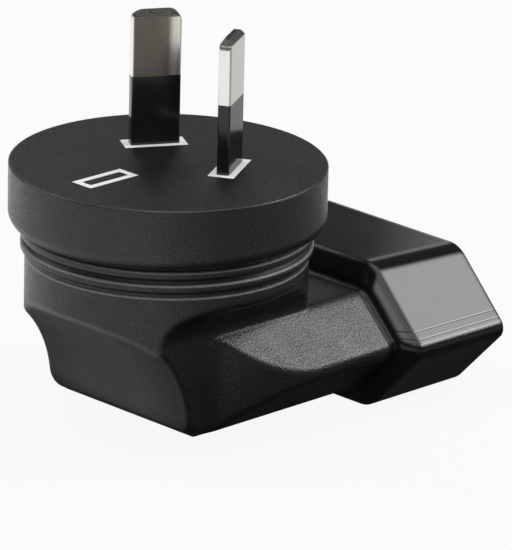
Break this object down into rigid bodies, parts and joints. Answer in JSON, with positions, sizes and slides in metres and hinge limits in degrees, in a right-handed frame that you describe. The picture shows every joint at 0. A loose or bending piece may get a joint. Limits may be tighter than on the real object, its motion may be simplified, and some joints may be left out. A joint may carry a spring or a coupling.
{
  "type": "plug adapter",
  "caption": "Right-angle mains plug adapter: a round plug disc with flat sleeved blades on a scooped grip, and a glossy six-sided hooded socket with round holes at its side.",
  "frame": {"origin": "centre of the plug face, on the face that rests against a wall socket", "axes": "+Z out of the plug face along the blades, +X out of the socket's mouth, -Y on the active side"},
  "size_m": [0.0606, 0.0426, 0.0528],
  "materials": {
    "body": "fine grain",
    "hood": "polished",
    "insert": "satin",
    "carrier": "satin",
    "blade": "nickel plated",
    "sleeve": "semi-gloss",
    "contact": "stamped"
  },
  "bodies": {
    "root": {"body_overmould": "body", "socket_hood": "hood", "contact_block": "insert", "contact_block_cap": "insert", "blanking_plug": "insert", "pin_carrier": "carrier", "active_pin": "blade", "neutral_pin": "blade", "active_pin_sleeve": "sleeve", "neutral_pin_sleeve": "sleeve", "active_contact": "contact", "neutral_contact": "contact", "active_link": "contact", "neutral_link": "contact"}
  },
  "joints": []
}
